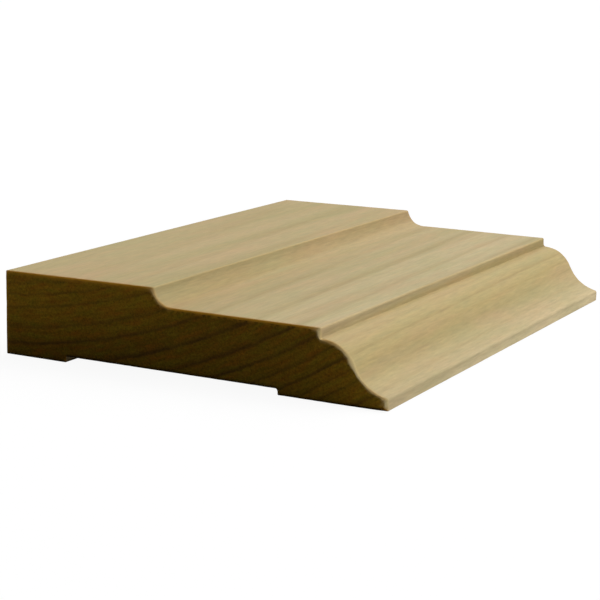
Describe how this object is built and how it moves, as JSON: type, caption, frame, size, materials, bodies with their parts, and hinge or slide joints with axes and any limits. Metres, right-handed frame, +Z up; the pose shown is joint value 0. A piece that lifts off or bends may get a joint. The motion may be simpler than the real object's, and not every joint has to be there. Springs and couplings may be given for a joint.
{
  "type": "colonial casing moulding",
  "caption": "Short straight length of solid wood colonial casing with a raised band, cove, flat field, quirk and ogee on its face and a relieved back, for trimming doors and windows.",
  "frame": {"origin": "middle of the back, at the bottom centre of the bounding box, on the plane of the two back pads", "axes": "+Y along the grain and the length, +X across the face from the thick edge to the thin edge, +Z up out of the moulded face"},
  "size_m": [0.0888, 0.125, 0.0182],
  "materials": {
    "poplar": "planed and moulded bare hardwood, pale tan with a faint green cast, sawn ends darker"
  },
  "bodies": {
    "root": {"colonial_casing": "poplar"}
  },
  "joints": []
}
